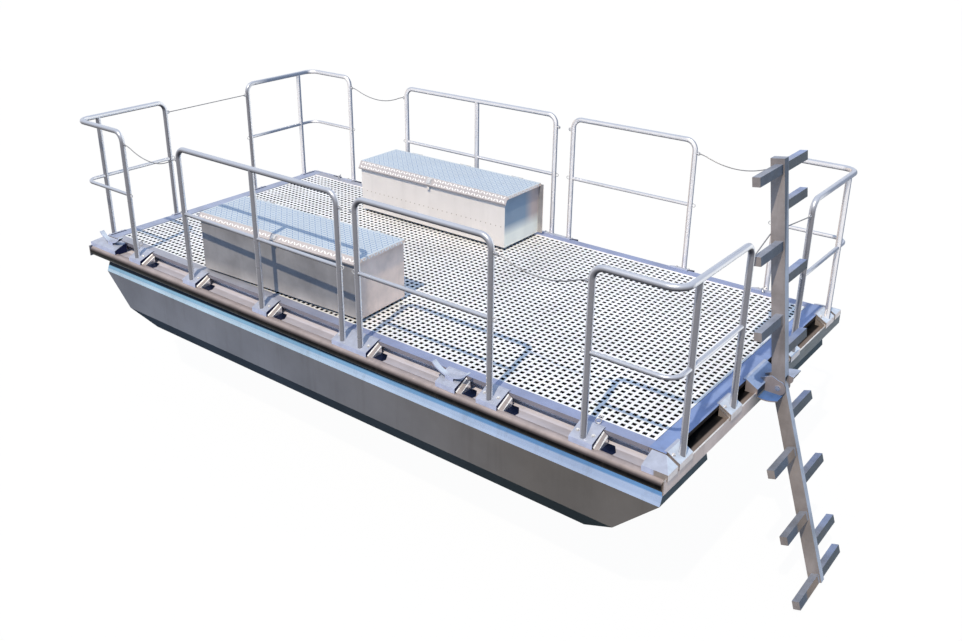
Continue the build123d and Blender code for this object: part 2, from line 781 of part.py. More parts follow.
def main():
    """Builds and writes every sub-part."""
    os.makedirs("parts", exist_ok=True)
    for side, name in SIDE_NAMES.items():
        save(to_side(make_float(), side), f"float_{name}")
        save(to_side(make_side_beam(), side), f"side_beam_{name}")
        save(to_side(make_ledge(), side), f"rub_ledge_{name}")
        save(to_side(rub_tube(), side), f"rub_tube_{name}")
        rows = [row for row in side_brackets if row[0] == side]
        shapes = [to_side(make_side_bracket(x, width, posts), side) for _, x, width, posts in rows]
        save(Compound(children=shapes), f"brackets_{name}")
    for end, name in END_NAMES.items():
        save(to_end(make_end_beam(), end), f"end_beam_{name}")
        places = [s * y for s in (PORT, STARBOARD) for y in (corner_post_y, inner_post_y)]
        shapes = [to_end(make_end_bracket(y, bracket_width, (y,)), end) for y in places]
        save(Compound(children=shapes), f"brackets_{name}")
    covers = [to_side(to_end(make_corner_cover(length), end), side) for end, side, length in corner_covers]
    save(Compound(children=covers), "corner_covers")
    save(make_joists(), "deck_joists")
    lower, upper = make_grating()
    save(lower, "grating_lower_bars")
    save(upper, "grating_upper_bars")
    for name, side, posts in side_sections:
        save(make_side_railing(side, posts), f"railing_{SIDE_NAMES[side]}_{name}")
    for end, side, x in corner_sections:
        save(make_corner_railing(end, side, x), f"railing_{END_NAMES[end]}_{SIDE_NAMES[side]}")
    for name, side, x in cleats:
        save(make_cleat(side, x), f"cleat_{name}")
    for name, x, side, inset, turn, top, drop in boxes:
        place = box_frame(x, side * (deck_half_width - inset), turn)
        save(place * make_box(top, drop), f"storage_box_{name}")
        save(place * make_lid(top, drop), f"storage_lid_{name}")
        save(place * make_hinge_pins(top), f"hinge_pins_{name}")
        save(place * make_latch(top, drop), f"latch_{name}")
    save(make_upper_ladder(), "ladder_upper")
    save(make_lower_ladder(), "ladder_lower")
    save(make_ladder_bracket(), "ladder_bracket")
    save(make_ladder_pin(), "ladder_pin")
    for name, side, x, route in sagging_wires:
        save(make_sagging_wire(name, side, x, route), f"wire_{name}")
    save(make_bow_wire(), "wire_bow")
    save(make_stern_wire(), "wire_stern")


main()
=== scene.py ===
"""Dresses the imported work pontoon: finishes, mesh deck, tread plate, fixings, safety wires and studio."""

import logging
import math
from dataclasses import dataclass, field
from enum import Enum

import bpy
from mathutils import Matrix, Vector

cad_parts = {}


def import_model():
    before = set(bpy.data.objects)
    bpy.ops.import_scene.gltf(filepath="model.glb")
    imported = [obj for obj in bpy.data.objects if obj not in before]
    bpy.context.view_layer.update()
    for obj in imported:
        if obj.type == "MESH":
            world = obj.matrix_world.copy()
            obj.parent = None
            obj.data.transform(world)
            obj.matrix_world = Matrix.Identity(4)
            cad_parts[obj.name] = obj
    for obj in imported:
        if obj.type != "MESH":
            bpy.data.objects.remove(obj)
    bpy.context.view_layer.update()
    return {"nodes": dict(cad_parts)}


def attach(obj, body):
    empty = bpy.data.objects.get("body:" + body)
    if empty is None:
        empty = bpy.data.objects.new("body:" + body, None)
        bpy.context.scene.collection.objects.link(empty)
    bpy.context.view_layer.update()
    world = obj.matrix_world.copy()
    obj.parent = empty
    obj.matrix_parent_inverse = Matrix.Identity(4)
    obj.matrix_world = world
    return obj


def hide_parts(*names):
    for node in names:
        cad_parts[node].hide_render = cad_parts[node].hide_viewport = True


Point = tuple[float, float, float]
Tree = bpy.types.NodeTree
Node = bpy.types.Node
Outputs = bpy.types.NodeOutputs
# What can feed a socket: a node, for its first output, or one output of a node.
Feed = bpy.types.Node | bpy.types.NodeSocket
LOG = logging.getLogger("pontoon")

# A Map Range node's sockets: the two values that it reads between, and what it gives at each.
LOW, HIGH, AT_LOW, AT_HIGH = 1, 2, 3, 4
# Ways in the pontoon's frame.
STERN, BOW = (1, 0, 0), (-1, 0, 0)
STARBOARD, PORT = (0, 1, 0), (0, -1, 0)
UP, DOWN = (0, 0, 1), (0, 0, -1)
# The values that most of a noise texture lies between.
NOISE = {LOW: 0.3, HIGH: 0.7}
# Edges that turn by more than this stay crisp on a smooth piece.
CRISP = math.radians(35)
SIDES = {-1: "port", 1: "starboard"}
ENDS = {-1: "bow", 1: "stern"}
# Where the posts stand across either end.
END_POSTS = (-1.174, -0.489, 0.489, 1.174)
# Where they stand along either side: two by the fore gap, one alone, two close together, two by the aft gap.
SIDE_POSTS = {-1: ((-2.215, -1.457), -0.585, (0.287, 0.463), (1.603, 2.307)),
              1: ((-2.294, -1.508), -0.629, (0.250, 0.435), (1.584, 2.301))}


def linear(code: str) -> tuple[float, float, float, float]:
    """Turns a sRGB hex colour into linear light.

    Args:
        code: six hex digits after a hash.

    Returns:
        Red, green, blue and alpha.
    """
    parts = [int(code[i:i + 2], 16) / 255 for i in (1, 3, 5)]
    return (*[c / 12.92 if c <= 0.04045 else ((c + 0.055) / 1.055) ** 2.4 for c in parts], 1.0)


def add(tree: Tree, kind: str, settings: dict | None = None, links: dict | None = None) -> Node:
    """Adds one node with its settings and links.

    Args:
        tree: the material's node tree.
        kind: the node's type, without ShaderNode.
        settings: attributes by name, or socket values by name or number.
        links: what feeds each input, by name or number.

    Returns:
        The node.
    """
    node = tree.nodes.new("ShaderNode" + kind)
    for key, value in (settings or {}).items():
        if isinstance(key, str) and hasattr(node, key):
            setattr(node, key, value)
        else:
            node.inputs[key].default_value = value
    for key, feed in (links or {}).items():
        tree.links.new(feed.outputs[0] if isinstance(feed, Node) else feed, node.inputs[key])
    return node


def blank(name: str) -> bpy.types.Material:
    """Makes a material with no nodes yet.

    Args:
        name: the material's name.

    Returns:
        The material.
    """
    made = bpy.data.materials.new(name)
    made.use_nodes = True
    made.node_tree.nodes.clear()
    return made


def placed(name: str, data: bpy.types.ID) -> bpy.types.Object:
    """Makes an object and puts it in the scene.

    Args:
        name: the object's name.
        data: its mesh, curve, camera or light.

    Returns:
        The object.
    """
    made = bpy.data.objects.new(name, data)
    bpy.context.scene.collection.objects.link(made)
    return made


@dataclass(frozen=True)
class Daylight:
    """Sun, blue sky and the little that dark water throws back, shared by the studio and the finishes."""

    sun_from: Point = (0.13, -0.545, 0.828)
    sun: Point = (4.0, 3.45, 2.65)
    sky: Point = (0.36, 0.58, 0.95)
    water: Point = (0.06, 0.07, 0.08)

    def reaching(self, way: Point) -> list[float]:
        """Gives the light on an open surface.

        Args:
            way: the way that the surface faces.

        Returns:
            Red, green and blue, where 1 shows a finish at its own colour.
        """
        turned = Vector(way).normalized()
        share = max(0.0, turned.dot(Vector(self.sun_from).normalized())) / math.pi
        above = (1 + turned.z) / 2
        return [share * s + above * k + (1 - above) * w for s, k, w in zip(self.sun, self.sky, self.water)]


DAY = Daylight()


class Axis(Enum):
    """The direction that a finish's rolling or brushing lines run in."""

    ALONG = (0.02, 1.0, 1.0)
    ACROSS = (1.0, 0.02, 1.0)
    UPRIGHT = (1.0, 1.0, 0.02)


@dataclass(frozen=True)
class Facing:
    """A tone that shows where the surface turns a given way, and past a given place if one is set; most are
    painted highlights, reflections and shade.
    """

    way: Point
    colour: str
    start: float = 0.55
    full: float = 0.85
    along: Point = (0.0, 0.0, 0.0)
    begins: float = 0.0
    over: float = 0.25


TOWARDS_RIGHT = (0.779, 0.627, 0.0)
TOWARDS_LEFT = (-0.779, -0.627, 0.0)


@dataclass(frozen=True)
class Metal:
    """A bare or painted metal surface, marked by handling, with painted light and shade by which way it
    faces.

    The tones are painted highlights, reflections and shade, given as they look out of doors in daylight; each
    is divided by the light that reaches it.
    """

    name: str
    top: str
    side: str
    under: str
    facings: tuple[Facing, ...] = ()
    top_z: float = 0.85
    side_z: float = 0.0
    under_z: float = -0.75
    metallic: float = 0.3
    roughness: float = 0.42
    specular: float = 0.15
    lines: Axis = Axis.ALONG
    line_mm: float = 3.0
    cloud_mm: float = 260.0
    cloud: float = 0.16
    bump: float = 0.12
    bump_mm: float = 0.6
    grime: float = 0.0
    dirt: str = "#4a4540"

    def bare(self, look: str, way: Point) -> tuple[float, float, float, float]:
        """Turns a colour, as it looks on a surface that faces a given way, into the finish's own."""
        pairs = zip(linear(look), DAY.reaching(way))
        return (*[min(0.95, c / (self.metallic + (1 - self.metallic) * light)) for c, light in pairs], 1.0)

    def material(self) -> bpy.types.Material:
        """Builds the material, or returns the one already built.

        Returns:
            The material of this finish.
        """
        if self.name in bpy.data.materials:
            return bpy.data.materials[self.name]
        made = blank(self.name)
        tree = made.node_tree
        place = add(tree, "TexCoord").outputs
        colour = self.tones(tree, place)
        clouds = add(tree, "TexNoise", {"Scale": 1000 / self.cloud_mm, "Detail": 4.0, "Roughness": 0.6},
                     {"Vector": place["Object"]})
        shade = add(tree, "MapRange", {**NOISE, AT_LOW: 1 - self.cloud, AT_HIGH: 1 + self.cloud * 0.5},
                    {0: clouds})
        shaded = add(tree, "VectorMath", {"operation": "SCALE"}, {0: colour, "Scale": shade})
        squeeze = add(tree, "Mapping", {"Scale": tuple(s * 1000 / self.line_mm for s in self.lines.value)},
                      {"Vector": place["Object"]})
        lines = add(tree, "TexNoise", {"Scale": 1.0, "Detail": 3.0, "Roughness": 0.65}, {"Vector": squeeze})
        colour = self.stained(tree, place, shaded) if self.grime else shaded
        rough = add(tree, "MapRange", {**NOISE, AT_LOW: self.roughness - 0.1, AT_HIGH: self.roughness + 0.12},
                    {0: lines})
        bump = add(tree, "Bump", {"Strength": self.bump, "Distance": self.bump_mm / 1000}, {"Height": lines})
        shader = add(tree, "BsdfPrincipled", {"Metallic": self.metallic, "Specular IOR Level": self.specular},
                     {"Base Color": colour, "Roughness": rough, "Normal": bump})
        add(tree, "OutputMaterial", links={"Surface": shader})
        return made

    def tones(self, tree: Tree, place: Outputs) -> Feed:
        """Picks the tone by which way the surface faces, as painted light and shade.

        Args:
            tree: the material's node tree.
            place: what its texture coordinates give.

        Returns:
            What gives the colour.
        """
        way = add(tree, "SeparateXYZ", links={0: place["Normal"]})
        facing = add(tree, "MapRange", {LOW: -1.0, HIGH: 1.0}, {0: way.outputs["Z"]})
        ramp = add(tree, "ValToRGB", links={0: facing})
        stops = ramp.color_ramp.elements
        # Painted shade on faces turned down, painted light on faces turned up.
        stops[0].position, stops[0].color = (1 + self.under_z) / 2, linear(self.under)
        stops[1].position, stops[1].color = (1 + self.top_z) / 2, self.bare(self.top, UP)
        middle = stops.new((1 + self.side_z) / 2)
        middle.color = self.bare(self.side, PORT)
        colour = ramp
        for tone in self.facings:
            turned = add(tree, "VectorMath", {"operation": "DOT_PRODUCT", 1: tone.way}, {0: place["Normal"]})
            share = add(tree, "MapRange", {LOW: tone.start, HIGH: tone.full}, {0: turned.outputs["Value"]})
            if any(tone.along):
                gone = add(tree, "VectorMath", {"operation": "DOT_PRODUCT", 1: tone.along},
                           {0: place["Object"]})
                past = add(tree, "MapRange", {LOW: tone.begins, HIGH: tone.begins + tone.over},
                           {0: gone.outputs["Value"]})
                share = add(tree, "Math", {"operation": "MULTIPLY"}, {0: share, 1: past})
            colour = self.blend(tree, share, colour, self.bare(tone.colour, tone.way))
        return colour

    def stained(self, tree: Tree, place: Outputs, colour: Feed) -> Feed:
        """Runs faint upright streaks of dried dirt over the colour, about 110 mm wide and 1.4 m long.

        Args:
            tree: the material's node tree.
            place: what its texture coordinates give.
            colour: what gives the clean colour.

        Returns:
            What gives the stained colour.
        """
        drawn = add(tree, "Mapping", {"Scale": (9.0, 9.0, 0.7)}, {"Vector": place["Object"]})
        runs = add(tree, "TexNoise", {"Scale": 1.0, "Detail": 5.0, "Roughness": 0.7}, {"Vector": drawn})
        share = add(tree, "MapRange", {LOW: 0.52, HIGH: 0.75, AT_HIGH: self.grime}, {0: runs})
        return self.blend(tree, share, colour, linear(self.dirt))

    @staticmethod
    def blend(tree: Tree, share: Feed, first: Feed, second: tuple[float, float, float, float]) -> Node:
        """Mixes what feeds the first colour with a plain second one, of which the share shows."""
        return add(tree, "MixRGB", {"Color2": second}, {"Fac": share, "Color1": first})


# Rolled aluminium sheet and sections, not anodised: soft bright lines along the rolling, a painted sky
# reflection on the tops, paler towards the bow, and painted shade on the port lip, the ends and the
# undersides.
FRAME_ALUMINIUM = Metal(
    "rolled_aluminium_frame", "#9aa8d2", "#efe9ee", "#17181c",
    (Facing(PORT, "#85838f", along=PORT, begins=1.262, over=0.004),
     Facing(UP, "#aeb4c8", along=BOW, begins=-0.5, over=1.6),
     Facing(STERN, "#3c4868"), Facing(BOW, "#6a7288")))
# The same sheet at the stern: painted reflections of the quay near by and of dark water further off on the
# upright apron, painted sky on the tops, a brown tone on the gutter's floor, and painted shade on the
# gutter's web and on the floor beside it.
STERN_ALUMINIUM = Metal(
    "rolled_aluminium_stern", "#8ba4dc", "#857c78", "#17181c",
    (Facing(STERN, "#b0a8aa"),
     Facing(STERN, "#4a5661", along=STARBOARD, begins=-0.35),
     Facing(UP, "#8a7f7c", along=DOWN, begins=-0.46, over=0.01),
     Facing(UP, "#121318", along=(-0.3, 0, -1), begins=-1.267, over=0.003),
     Facing(STERN, "#08080c", along=BOW, begins=-2.86, over=0.01)),
    lines=Axis.ACROSS, grime=0.25)
# At the bow, which shows only its pale upper edge, painted bluer where it faces the sky, greyer on its lower
# tops, with painted shade and reflection on its upright faces.
BOW_ALUMINIUM = Metal(
    "rolled_aluminium_bow", "#a9b6d8", "#9a938f", "#17181c",
    (Facing(UP, "#8a8788", along=DOWN, begins=-0.46, over=0.01),
     Facing(STERN, "#6d7588"), Facing(BOW, "#8b93a8")),
    lines=Axis.ACROSS, grime=0.25)
# The ledge under the gutter, painted paler on top for the sun that it catches between the brackets.
LEDGE_ALUMINIUM = Metal("rolled_aluminium_ledge", "#cfcddb", "#8f8785", "#17181c")
# Folded plate, bare from the brake: painted sky on its slope, a painted pale face at the stern end, painted
# shade on the other faces turned to the stern, and a brown tone on the stern brackets' port faces.
BRACKET_ALUMINIUM = Metal(
    "folded_aluminium_bracket", "#b9c3dd", "#b4bcd8", "#17181c",
    (Facing((0.5, 0, 0.86), "#d2e1f8", 0.9, 0.98),
     Facing(STERN, "#c6c0c6", 0.9, 0.98),
     Facing(STERN, "#10183a", 0.9, 0.98, BOW, -2.86, 0.01),
     Facing(PORT, "#8d8480", 0.9, 0.98, STERN, 2.79, 0.012)),
    cloud_mm=60.0)
# The same plate welded up at the ladder's foot, with painted sky on its slope, painted shade on its stern
# faces and painted blue shade on the top of its low lug.
LADDER_BRACKET_ALUMINIUM = Metal(
    "welded_aluminium_bracket", "#b3c2e2", "#938a8b", "#23262c",
    (Facing((0.5, 0, 0.86), "#9db6e4", 0.9, 0.98),
     Facing(STERN, "#232b38"),
     Facing(UP, "#5f86c8", 0.6, 0.9, DOWN, -0.41, 0.01)),
    cloud_mm=90.0, cloud=0.22)
# Drawn tube, scuffed by mooring: long dull lines and darker rubbed patches, a painted bright line along its
# top, and painted shade with a painted reflection of dark water below.
RUB_TUBE_ALUMINIUM = Metal(
    "scuffed_aluminium_tube", "#b6adb2", "#4b4547", "#08090b",
    (Facing(STERN, "#7d7472", 0.9, 0.98),
     Facing(BOW, "#8c8482", 0.9, 0.98)), top_z=0.86, side_z=0.45,
    under_z=0.2, roughness=0.4, specular=0.05, cloud_mm=180.0, cloud=0.2, grime=0.25)
# Satin drawn tube, welded and pickled: a painted highlight down the side turned to the right, a paler painted
# left edge, painted sky on top and shade beneath, and on the starboard railings, far off, painted pale sides
# with a dark painted right side.
RAIL_ALUMINIUM = Metal(
    "satin_aluminium_tube", "#c0c9dd", "#84848b", "#3f4149",
    (Facing(TOWARDS_RIGHT, "#ffffff", 0.58, 0.76),
     Facing(TOWARDS_LEFT, "#b4b6c0", 0.7, 0.9),
     Facing((0.5, -0.86, 0), "#eeedf1", 0.6, 0.9, STARBOARD, 0.5),
     Facing(TOWARDS_LEFT, "#cfc6c3", 0.7, 0.9, STARBOARD, 0.5),
     Facing(TOWARDS_RIGHT, "#65728a", 0.35, 0.6, STARBOARD, 0.5)),
    top_z=0.6, side_z=0.02, under_z=-0.4, metallic=0.6, roughness=0.3,
    line_mm=160.0, cloud=0.06, bump=0.004)
# Box section, dull from the mill, with painted slate-sky reflection and painted shade on the faces turned
# from the sun, painted sky on the starboard tops, and strong clouds that paint broad patches of mirrored
# light and dark.
LADDER_ALUMINIUM = Metal(
    "mill_aluminium_section", "#9fa9c0", "#8f898a", "#2a292c",
    (Facing(STERN, "#7c8ba3"),
     Facing(STERN, "#303d4d", along=STARBOARD, begins=0.03, over=0.02),
     Facing(STERN, "#605a59", along=PORT, begins=0.03, over=0.02),
     Facing(STERN, "#35445a", along=(0, -0.99, 0.1), begins=0.14, over=0.03),
     Facing(UP, "#93a7d6", along=STARBOARD, begins=0.02)),
    lines=Axis.UPRIGHT, cloud_mm=190.0, cloud=0.3, grime=0.3)
# Sheet of the two boxes: brushed, with painted reflections of the mesh and the quay: on the port box a dark
# front, paler low down, and a pale end; on the starboard box a pale front and a slate end, greyer towards its
# back and paler low down.
PORT_BOX_SHEET = Metal(
    "brushed_aluminium_port_box", "#b9bac2", "#85868d", "#1c1c20",
    (Facing(PORT, "#a9a6a8", 0.6, 0.9, DOWN, -0.62, 0.12),
     Facing(STERN, "#a5a2a8")),
    metallic=0.05, specular=0.1, cloud_mm=300.0, cloud=0.26, grime=0.12)
STARBOARD_BOX_SHEET = Metal(
    "brushed_aluminium_starboard_box", "#c9c9cf", "#d0cdcf", "#1c1c20",
    (Facing(STERN, "#5c728e"),
     Facing(STERN, "#84848f", along=STARBOARD, begins=0.98, over=0.12),
     Facing(STERN, "#b5b5c0", along=DOWN, begins=-0.72, over=0.1)),
    metallic=0.05, specular=0.1, cloud_mm=420.0, cloud=0.08, grime=0.06)
# Rolled tread plate: rows of raised lozenges, with a painted pale sky reflection on the flat, a painted beige
# reflection of the quay where the bevel faces it, and painted bright glints on the lozenges' tilted faces.
TREAD_PLATE = Metal(
    "rolled_tread_plate", "#cfdeef", "#b3aeb2", "#3a3a3f", (Facing(STERN, "#a9a4a6"),),
    top_z=0.92, side_z=0.68, metallic=0.15, roughness=0.36, cloud=0.06)
TREAD_LOZENGE = Metal(
    "raised_tread_lozenge", "#8facd8", "#f1eff0", "#77777b",
    (Facing(STERN, "#e8e2de"),), top_z=0.96, side_z=0.68, metallic=0.15,
    roughness=0.28, cloud_mm=40.0, cloud=0.12)
# Stainless fixings, bright, and the same in laid wire rope, dulled by its strands; both painted light on top
# and shade underneath.
STAINLESS = Metal(
    "satin_stainless_steel", "#f2f4fa", "#b5b6bd", "#55565b", metallic=0.7, roughness=0.26,
    line_mm=1.0, cloud_mm=15.0)
WIRE_ROPE = Metal(
    "laid_stainless_rope", "#a2a5ae", "#6f7279", "#44464c", metallic=0.7, line_mm=1.0,
    cloud_mm=15.0)
# Blind rivets, duller than the sheet round them.
BOX_RIVET = Metal("dull_aluminium_rivet", "#a89e98", "#a89e98", "#77777b", line_mm=1.0, cloud_mm=9.0)
# Cut and dressed sheet edges with painted highlights brighter than the sheet, the flank sheet with painted
# shade on its stern face, and a mirror-dark navy sheet at the flank's foot, which is painted shade and
# reflection.
SHEET_EDGE = Metal(
    "dressed_sheet_edge", "#eef1f8", "#e4e0e2", "#55565b", (Facing(STERN, "#eceef4"),),
    metallic=0.85, roughness=0.3, line_mm=1.0, cloud_mm=20.0)
FLANK_SHEET = Metal(
    "folded_flank_sheet", "#a29da3", "#a29da3", "#17181c", (Facing(STERN, "#8b8891"),),
    cloud_mm=40.0)
FOOT_FLANGE = Metal(
    "mirror_dark_flange", "#1f2d52", "#1f2d52", "#101216", metallic=0.8, roughness=0.35,
    cloud_mm=30.0, cloud=0.3)


@dataclass(frozen=True)
class HullPaint(Metal):
    """Float plating: a grey side, a flared band that mirrors the sky and a bilge in deep shade.

    The band turns bluer towards the bow. Its lower and upper edges rise a little towards the stern.
    """

    # The band is a painted sky reflection, the shaded band the rub tube's painted shadow on it, and the strip
    # painted shade under the tube.
    band: str = "#b0c2e2"
    shaded_band: str = "#6c99cb"
    bow_band: str = "#b9d2e6"
    bow_shaded_band: str = "#93bfdb"
    strip: str = "#0b1a2a"
    deck: str = "#c4c0c8"
    shaded_low_m: float = 0.204
    strip_low_m: float = 0.227
    climb: float = -0.0056
    slopes_up: tuple[float, float] = (0.15, 0.3)
    lies_flat: tuple[float, float] = (0.9, 0.95)
    towards_bow: tuple[float, float] = (1.8, -1.2)
    shine: float = 0.9
    polish: float = 0.2

    def tones(self, tree: Tree, place: Outputs) -> Feed:
        """Adds the band, its painted shadow, the strip of painted shade under the rub tube and the float's
        top to the tones.

        Args:
            tree: the material's node tree.
            place: what its texture coordinates give.

        Returns:
            What gives the colour.
        """
        colour = super().tones(tree, place)
        way = add(tree, "SeparateXYZ", links={0: place["Normal"]}, settings={"name": "way"})
        height = add(tree, "VectorMath", {"operation": "DOT_PRODUCT", 1: (self.climb, 0, 1)},
                     {0: place["Object"]}).outputs["Value"]
        low, high = self.shaded_low_m, self.strip_low_m
        steps = ((way.outputs["Z"], *self.slopes_up, self.band, self.bow_band),
                 (height, low - 0.006, low + 0.003, self.shaded_band, self.bow_shaded_band),
                 (height, high - 0.004, high + 0.006, self.strip, self.strip),
                 (way.outputs["Z"], *self.lies_flat, self.deck, self.deck))
        where = add(tree, "SeparateXYZ", links={0: place["Object"]})
        fore = add(tree, "MapRange", dict(zip((LOW, HIGH), self.towards_bow)), {0: where.outputs["X"]})
        for source, begins, full, tone, bow_tone in steps:
            share = add(tree, "MapRange", {LOW: begins, HIGH: full}, {0: source})
            colour = self.blend(tree, share, colour, linear(tone))
            both = add(tree, "Math", {"operation": "MULTIPLY"}, {0: share, 1: fore})
            colour = self.blend(tree, both, colour, linear(bow_tone))
        return colour

    def material(self) -> bpy.types.Material:
        """Builds the material and lets the band shine like bare metal, but not the float's flat top.

        Returns:
            The float's material.
        """
        if self.name in bpy.data.materials:
            return bpy.data.materials[self.name]
        made = super().material()
        tree = made.node_tree
        shader, way = tree.nodes["Principled BSDF"], tree.nodes["way"]
        up, flat = self.slopes_up, self.lies_flat
        pairs = (("Metallic", 0.0, self.shine), ("Roughness", self.roughness, self.polish))
        for socket, dull, bright in pairs:
            share = add(tree, "MapRange", {LOW: up[0], HIGH: up[1], AT_LOW: dull, AT_HIGH: bright},
                        {0: way.outputs["Z"]})
            back = add(tree, "MapRange", {LOW: flat[0], HIGH: flat[1], AT_HIGH: dull},
                       {0: way.outputs["Z"], AT_LOW: share})
            tree.links.new(back.outputs[0], shader.inputs[socket])
        return made


# Painted steel plate, sprayed: even colour with faint clouds where it has been touched up, bluer on the port
# side towards the bow, and painted shade on the stern faces.
FLOAT_PAINT = HullPaint(
    "sprayed_float_plate", "#abbfdc", "#676463", "#66675f",
    (Facing(PORT, "#747883", 0.8, 0.9, BOW, -1.9, 2.6),
     Facing(STERN, "#5a5f62", 0.6, 0.8)),
    under_z=-0.45, metallic=0.0, roughness=0.66, specular=0.0, cloud_mm=520.0, cloud=0.14,
    grime=0.2)


@dataclass(frozen=True)
class Grating:
    """Hot-dip galvanised mesh: pale chalky tops, and walls that painted shade darkens within a few
    millimetres.
    """

    name: str = "galvanised_mesh"
    top: str = "#e9e9e9"
    shade: str = "#0d0e13"
    top_m: float = 0.491
    lit_mm: float = 1.0
    dark_mm: float = 4.0
    spangle_mm: float = 14.0

    def material(self) -> bpy.types.Material:
        """Builds the material, or returns the one already built.

        Returns:
            The mesh's material.
        """
        if self.name in bpy.data.materials:
            return bpy.data.materials[self.name]
        made = blank(self.name)
        tree = made.node_tree
        place = add(tree, "TexCoord").outputs
        where = add(tree, "SeparateXYZ", links={0: place["Object"]})
        # Painted shade: the walls darken from lit_mm to dark_mm under the top.
        lit, dark = (self.top_m - down / 1000 for down in (self.lit_mm, self.dark_mm))
        depth = add(tree, "MapRange", {LOW: lit, HIGH: dark}, {0: where.outputs["Z"]})
        spangle = add(tree, "TexVoronoi", {"Scale": 1000 / self.spangle_mm}, {"Vector": place["Object"]})
        wear = add(tree, "TexNoise", {"Scale": 2.2, "Detail": 5.0}, {"Vector": place["Object"]})
        ramp = add(tree, "MapRange", {LOW: 0.35, HIGH: 0.65, AT_LOW: 0.86, AT_HIGH: 1.0}, {0: wear})
        pale = add(tree, "MixRGB", {"Fac": 0.06, "Color1": linear(self.top)},
                   {"Color2": spangle.outputs["Color"]})
        worn = add(tree, "VectorMath", {"operation": "SCALE"}, {0: pale, "Scale": ramp})
        colour = add(tree, "MixRGB", {"Color2": linear(self.shade)}, {"Fac": depth, "Color1": worn})
        shader = add(tree, "BsdfPrincipled", {"Metallic": 0.2, "Roughness": 0.5}, {"Base Color": colour})
        add(tree, "OutputMaterial", links={"Surface": shader})
        return made


MESH_GALVANISED = Grating()


@dataclass
class Form:
    """Points and faces of one piece, in metres in the pontoon's frame."""

    points: list[Point] = field(default_factory=list)
    faces: list[tuple[int, ...]] = field(default_factory=list)

    def put(self, points: list[Vector], faces: list[tuple[int, ...]], place: Matrix | None = None) -> None:
        """Adds a group of points and faces.

        Args:
            points: the new points.
            faces: their faces, counted from the first new point.
            place: where the group goes.
        """
        start = len(self.points)
        moved = [place @ p for p in points] if place else points
        self.points += [tuple(p) for p in moved]
        self.faces += [tuple(start + i for i in face) for face in faces]

    def bar(self, low: Point, high: Point) -> None:
        """Adds a thin strip between two corners.

        Args:
            low: its first corner.
            high: the corner across from it.
        """
        points = [Vector((x, y, z)) for x in (low[0], high[0]) for y in (low[1], high[1])
                  for z in (low[2], high[2])]
        self.put(points, [(0, 1, 3, 2), (4, 6, 7, 5), (0, 4, 5, 1), (2, 3, 7, 6), (0, 2, 6, 4), (1, 5, 7, 3)])

    def turned(self, profile: list[tuple[float, float]], sides: int, place: Matrix) -> None:
        """Adds a shape turned about the place's Z axis.

        Args:
            profile: radius and height of each ring, from the bottom up; the ends are closed.
            sides: how many sides each ring has.
            place: where its axis stands.
        """
        points = [Vector((r * math.cos(math.tau * i / sides), r * math.sin(math.tau * i / sides), z))
                  for r, z in profile for i in range(sides)]
        faces: list[tuple[int, ...]] = [tuple(reversed(range(sides)))]
        for ring in range(len(profile) - 1):
            low, high = ring * sides, (ring + 1) * sides
            faces += [(low + i, low + (i + 1) % sides, high + (i + 1) % sides, high + i)
                      for i in range(sides)]
        faces.append(tuple(range((len(profile) - 1) * sides, len(profile) * sides)))
        self.put(points, faces, place)

    def ring(self, radius: float, wire: float, place: Matrix, around: int = 24, thick: int = 8) -> None:
        """Adds a round ring in the place's XY plane.

        Args:
            radius: radius of its middle line.
            wire: radius of its bar.
            place: where its centre is.
            around: segments round the ring.
            thick: segments round the bar.
        """
        points = []
        for i in range(around):
            turn = math.tau * i / around
            for j in range(thick):
                roll = math.tau * j / thick
                reach = radius + wire * math.cos(roll)
                points.append(Vector((reach * math.cos(turn), reach * math.sin(turn), wire * math.sin(roll))))
        faces = [(i * thick + j, (i + 1) % around * thick + j, (i + 1) % around * thick + (j + 1) % thick,
                  i * thick + (j + 1) % thick) for i in range(around) for j in range(thick)]
        self.put(points, faces, place)

    def piece(self, name: str, finish: Metal | Grating, slot: str, body: str = "pontoon",
              smooth: bool = True) -> bpy.types.Object:
        """Makes the object, dresses it and sets it riding.

        Args:
            name: the piece's name.
            finish: its finish.
            slot: the record's material slot; not used.
            body: the body that it rides on.
            smooth: whether gentle edges are shaded smooth.

        Returns:
            The object.
        """
        mesh = bpy.data.meshes.new(name)
        mesh.from_pydata(self.points, [], self.faces)
        mesh.validate()
        mesh.update()
        made = placed(name, mesh)
        if smooth:
            mesh.shade_smooth()
            mesh.set_sharp_from_angle(angle=CRISP)
        mesh.materials.append(finish.material())
        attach(made, body)
        LOG.info("%s: %d points on %s", name, len(self.points), body)
        return made


def stand(at: Point | Vector, towards: Point | Vector = UP, turn: float = 0.0) -> Matrix:
    """Gives a place whose Z axis points a given way.

    Args:
        at: the place's origin.
        towards: the way its Z axis points.
        turn: turn about that axis, in radians.

    Returns:
        The place's matrix.
    """
    lean = Vector(towards).to_track_quat("Z", "Y").to_matrix().to_4x4()
    return Matrix.Translation(Vector(at)) @ lean @ Matrix.Rotation(turn, 4, "Z")


